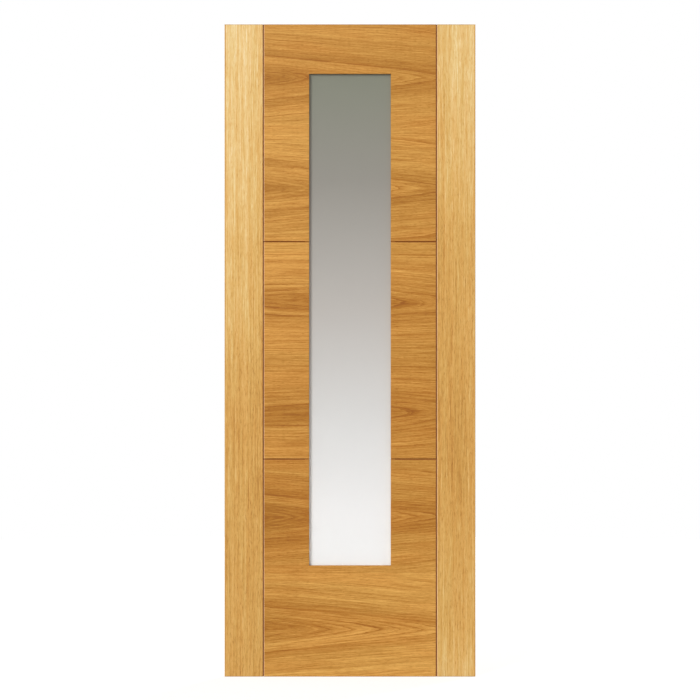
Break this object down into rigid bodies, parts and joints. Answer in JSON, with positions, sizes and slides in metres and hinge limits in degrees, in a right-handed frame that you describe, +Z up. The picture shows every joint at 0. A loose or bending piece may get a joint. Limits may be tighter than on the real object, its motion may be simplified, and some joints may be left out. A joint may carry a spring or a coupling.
{
  "type": "glazed door leaf",
  "caption": "Flat oak-veneered interior door leaf with a tall narrow central pane, upright-grain stiles, level-grain panels between V-grooves, and glazing beads on the back.",
  "frame": {"origin": "foot of the left (hinge) edge, on its outer face, in the middle of the leaf's thickness", "axes": "+X across the leaf from the hinge edge to the free edge, +Y from the pictured front to the beaded back, +Z up"},
  "size_m": [0.762, 0.035, 1.981],
  "materials": {
    "stile_veneer": "lacquered oak veneer, upright grain",
    "panel_veneer": "lacquered oak veneer, level grain",
    "solid_oak": "lacquered solid oak",
    "core_timber": "sawn softwood",
    "pane_glass": "satin",
    "glazing_tape": "matt closed-cell tape"
  },
  "bodies": {
    "root": {"left_stile_core": "core_timber", "right_stile_core": "core_timber", "top_rail_core": "core_timber", "bottom_rail_core": "core_timber", "left_infill_core": "core_timber", "right_infill_core": "core_timber", "left_edge_lipping": "solid_oak", "right_edge_lipping": "solid_oak", "left_lining": "solid_oak", "right_lining": "solid_oak", "top_lining": "solid_oak", "bottom_lining": "solid_oak", "front_left_stile_face": "stile_veneer", "front_right_stile_face": "stile_veneer", "front_top_panel": "panel_veneer", "front_middle_left_panel": "panel_veneer", "front_middle_right_panel": "panel_veneer", "front_bottom_panel": "panel_veneer", "back_left_stile_face": "stile_veneer", "back_right_stile_face": "stile_veneer", "back_top_panel": "panel_veneer", "back_middle_left_panel": "panel_veneer", "back_middle_right_panel": "panel_veneer", "back_bottom_panel": "panel_veneer", "glass_pane": "pane_glass", "front_glazing_tape": "glazing_tape", "back_glazing_tape": "glazing_tape", "left_bead": "solid_oak", "right_bead": "solid_oak", "top_bead": "solid_oak", "bottom_bead": "solid_oak"}
  },
  "joints": []
}
